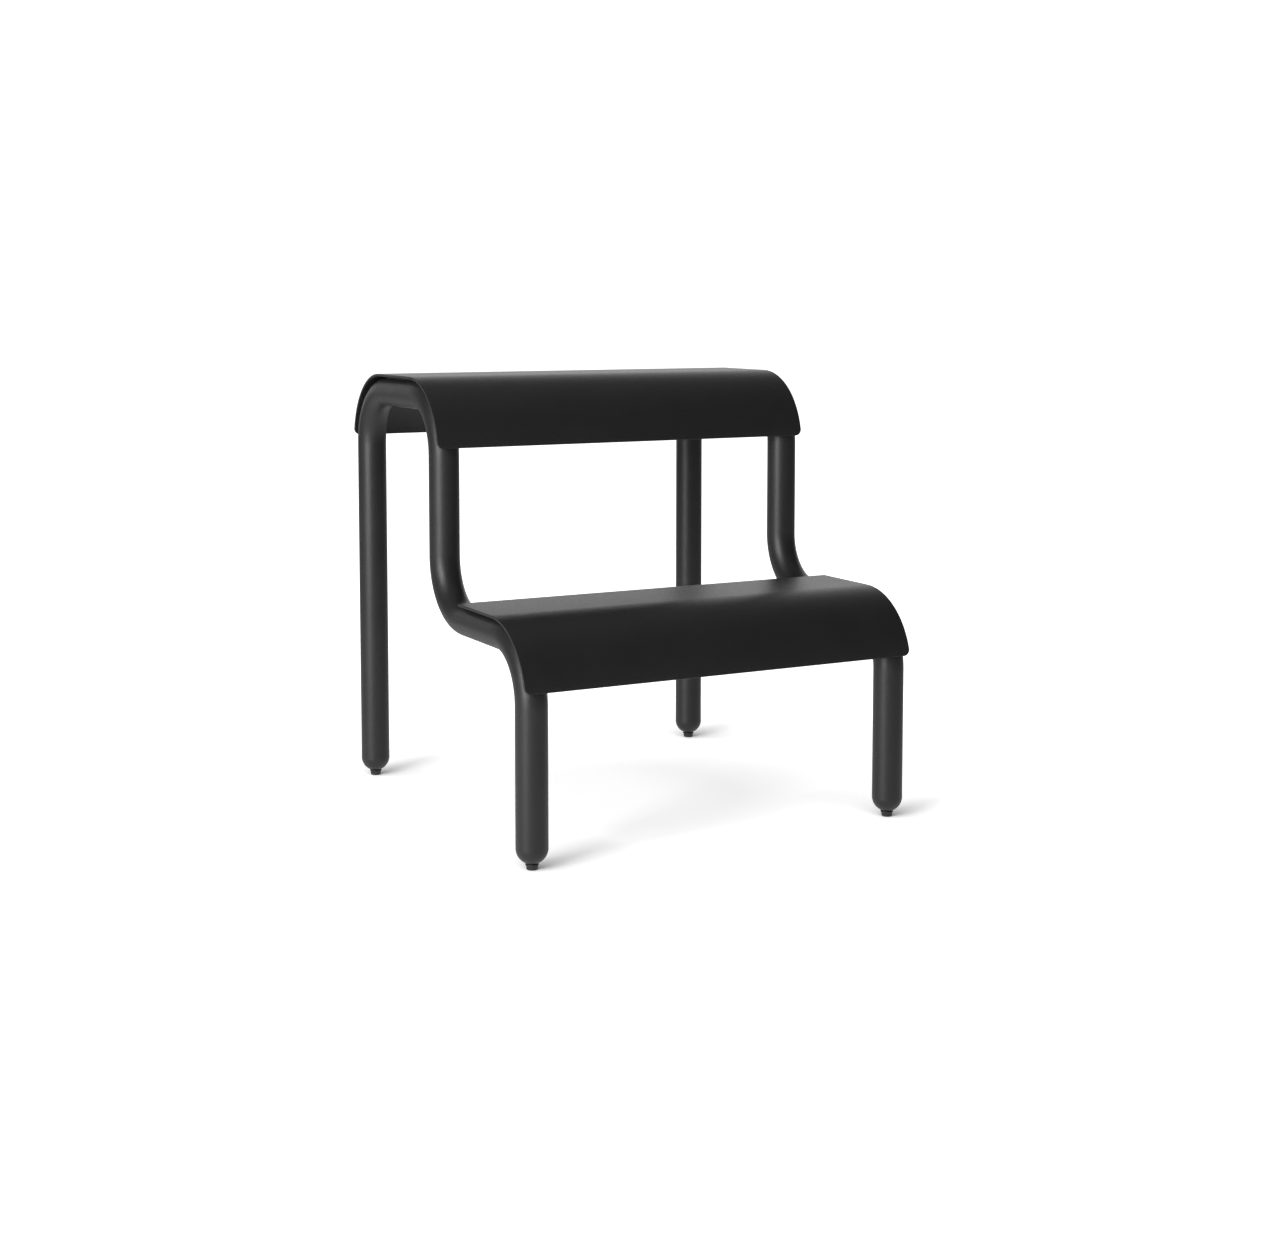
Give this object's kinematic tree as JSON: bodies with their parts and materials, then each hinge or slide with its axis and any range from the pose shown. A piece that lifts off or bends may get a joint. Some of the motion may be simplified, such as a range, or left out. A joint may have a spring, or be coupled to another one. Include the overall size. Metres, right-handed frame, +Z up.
{
  "type": "two-step stool",
  "caption": "Free-standing step stool: bent tube side frames carry an upper and a lower tread of bent sheet steel, on screw-in levelling glides.",
  "frame": {"origin": "on the floor, under the centre of the stool's bounding box, when the glides are screwed home", "axes": "+X along the treads, from the left frame to the right frame; -Y towards the front, where the low step is; +Z up"},
  "size_m": [0.42, 0.435, 0.4365],
  "materials": {
    "frame_paint": "black fine-texture powder coat, matt",
    "tread_paint": "black fine-texture powder coat, satin-matt",
    "zinc_steel": "bright zinc plate",
    "black_screw": "black oxide",
    "glide_plastic": "moulded black nylon",
    "saddle_rubber": "matt black"
  },
  "bodies": {
    "root": {"left_frame_tube": "frame_paint", "right_frame_tube": "frame_paint", "upper_tread": "tread_paint", "lower_tread": "tread_paint", "back_left_leg_cap": "frame_paint", "back_left_glide_bush": "zinc_steel", "front_left_leg_cap": "frame_paint", "front_left_glide_bush": "zinc_steel", "back_right_leg_cap": "frame_paint", "back_right_glide_bush": "zinc_steel", "front_right_leg_cap": "frame_paint", "front_right_glide_bush": "zinc_steel", "upper_left_saddle_pad": "saddle_rubber", "upper_left_tread_bosses": "tread_paint", "upper_left_spacer_sleeves": "zinc_steel", "upper_left_tread_screws": "black_screw", "lower_left_saddle_pad": "saddle_rubber", "lower_left_tread_bosses": "tread_paint", "lower_left_spacer_sleeves": "zinc_steel", "lower_left_tread_screws": "black_screw", "upper_right_saddle_pad": "saddle_rubber", "upper_right_tread_bosses": "tread_paint", "upper_right_spacer_sleeves": "zinc_steel", "upper_right_tread_screws": "black_screw", "lower_right_saddle_pad": "saddle_rubber", "lower_right_tread_bosses": "tread_paint", "lower_right_spacer_sleeves": "zinc_steel", "lower_right_tread_screws": "black_screw"},
    "back_left_stud": {"back_left_glide_stud": "zinc_steel"},
    "back_left_glide": {"back_left_glide": "glide_plastic"},
    "front_left_stud": {"front_left_glide_stud": "zinc_steel"},
    "front_left_glide": {"front_left_glide": "glide_plastic"},
    "back_right_stud": {"back_right_glide_stud": "zinc_steel"},
    "back_right_glide": {"back_right_glide": "glide_plastic"},
    "front_right_stud": {"front_right_glide_stud": "zinc_steel"},
    "front_right_glide": {"front_right_glide": "glide_plastic"}
  },
  "joints": [
    {"name": "back_left_glide_travel", "type": "slide", "parent": "root", "child": "back_left_stud", "axis": [0, 0, -1], "range_m": [0, 0.005]},
    {"name": "back_left_glide_turn", "type": "hinge", "parent": "back_left_stud", "child": "back_left_glide", "pos_m": [-0.195, 0.2, 0.0028], "axis": [0, 0, -1], "range_deg": [0, 1440]},
    {"name": "front_left_glide_travel", "type": "slide", "parent": "root", "child": "front_left_stud", "axis": [0, 0, -1], "range_m": [0, 0.005]},
    {"name": "front_left_glide_turn", "type": "hinge", "parent": "front_left_stud", "child": "front_left_glide", "pos_m": [-0.195, -0.2, 0.0028], "axis": [0, 0, -1], "range_deg": [0, 1440]},
    {"name": "back_right_glide_travel", "type": "slide", "parent": "root", "child": "back_right_stud", "axis": [0, 0, -1], "range_m": [0, 0.005]},
    {"name": "back_right_glide_turn", "type": "hinge", "parent": "back_right_stud", "child": "back_right_glide", "pos_m": [0.195, 0.2, 0.0028], "axis": [0, 0, -1], "range_deg": [0, 1440]},
    {"name": "front_right_glide_travel", "type": "slide", "parent": "root", "child": "front_right_stud", "axis": [0, 0, -1], "range_m": [0, 0.005]},
    {"name": "front_right_glide_turn", "type": "hinge", "parent": "front_right_stud", "child": "front_right_glide", "pos_m": [0.195, -0.2, 0.0028], "axis": [0, 0, -1], "range_deg": [0, 1440]}
  ],
  "couplings": [
    {"joint": "back_left_glide_turn", "follows": "back_left_glide_travel", "rad_per_m": 5026.5},
    {"joint": "front_left_glide_turn", "follows": "front_left_glide_travel", "rad_per_m": 5026.5},
    {"joint": "back_right_glide_turn", "follows": "back_right_glide_travel", "rad_per_m": 5026.5},
    {"joint": "front_right_glide_turn", "follows": "front_right_glide_travel", "rad_per_m": 5026.5}
  ]
}
